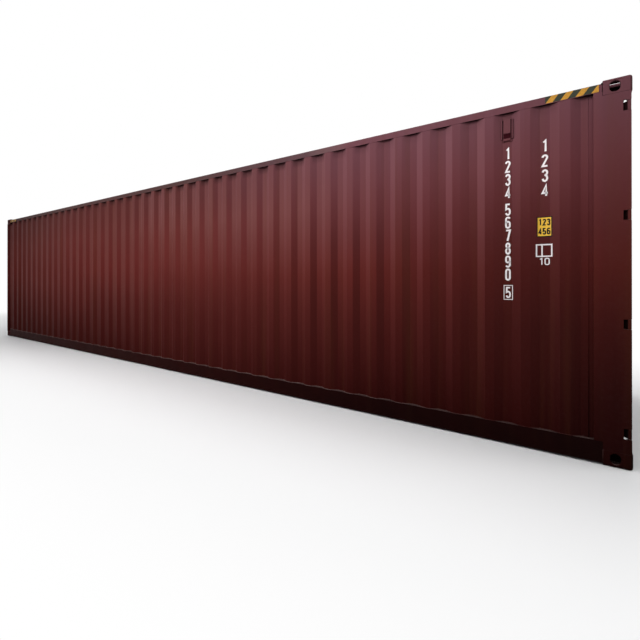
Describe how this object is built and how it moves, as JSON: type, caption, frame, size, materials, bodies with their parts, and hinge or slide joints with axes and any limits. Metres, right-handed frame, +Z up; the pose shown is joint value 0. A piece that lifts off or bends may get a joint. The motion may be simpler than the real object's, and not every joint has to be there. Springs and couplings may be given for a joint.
{
  "type": "dry freight shipping container, 40 ft high-cube",
  "caption": "Corrugated steel freight container with corner castings, timber floor and two hinged doors with lock rods.",
  "frame": {"origin": "bottom centre of the box, on the level of the corner castings' undersides", "axes": "+X lengthwise to the door end, +Y to the right as one faces the door end from outside, +Z up"},
  "size_m": [12.192, 2.438, 2.896],
  "materials": {
    "paint": "semi-matt maroon chassis paint, lightly dusty",
    "casting_paint": "semi-matt maroon paint over cast steel",
    "plywood": "varnished hardwood plywood",
    "underframe_coating": "matt black bituminous coating",
    "bare_steel": "stainless pin",
    "seal_rubber": "matt black seal",
    "galvanised": "dull zinc coating",
    "vent_cover": "satin maroon paint"
  },
  "bodies": {
    "box": {"top_castings": "casting_paint", "bottom_castings": "casting_paint", "rear_post_left": "paint", "rear_post_right": "paint", "front_post_left": "paint", "front_post_right": "paint", "top_side_rail_left": "paint", "top_side_rail_right": "paint", "bottom_side_rail_left": "paint", "bottom_side_rail_right": "paint", "side_wall_left": "paint", "side_wall_right": "paint", "front_wall": "paint", "front_header": "paint", "front_sill": "paint", "rear_header": "paint", "rear_sill": "paint", "roof": "paint", "header_plates": "paint", "corner_plates": "paint", "floor": "plywood", "cross_members": "underframe_coating", "outriggers": "underframe_coating", "gooseneck_tunnel": "underframe_coating", "tunnel_bolster": "underframe_coating", "cam_keepers": "paint", "hinge_pins": "bare_steel", "ventilators": "vent_cover"},
    "left_door": {"door_frame_left": "paint", "door_panel_left": "paint", "door_gasket_left": "seal_rubber", "hinges_left": "paint", "lock_rods_left": "galvanised", "rod_brackets_left": "galvanised", "door_handles_left": "galvanised", "handle_catches_left": "galvanised"},
    "right_door": {"door_frame_right": "paint", "door_panel_right": "paint", "door_gasket_right": "seal_rubber", "hinges_right": "paint", "lock_rods_right": "galvanised", "rod_brackets_right": "galvanised", "door_handles_right": "galvanised", "handle_catches_right": "galvanised"}
  },
  "joints": [
    {"name": "left_door_hinge", "type": "hinge", "parent": "box", "child": "left_door", "pos_m": [6.077, -1.206, 0], "axis": [0, 0, -1], "range_deg": [0, 270]},
    {"name": "right_door_hinge", "type": "hinge", "parent": "box", "child": "right_door", "pos_m": [6.077, 1.206, 0], "axis": [0, 0, 1], "range_deg": [0, 270]}
  ]
}
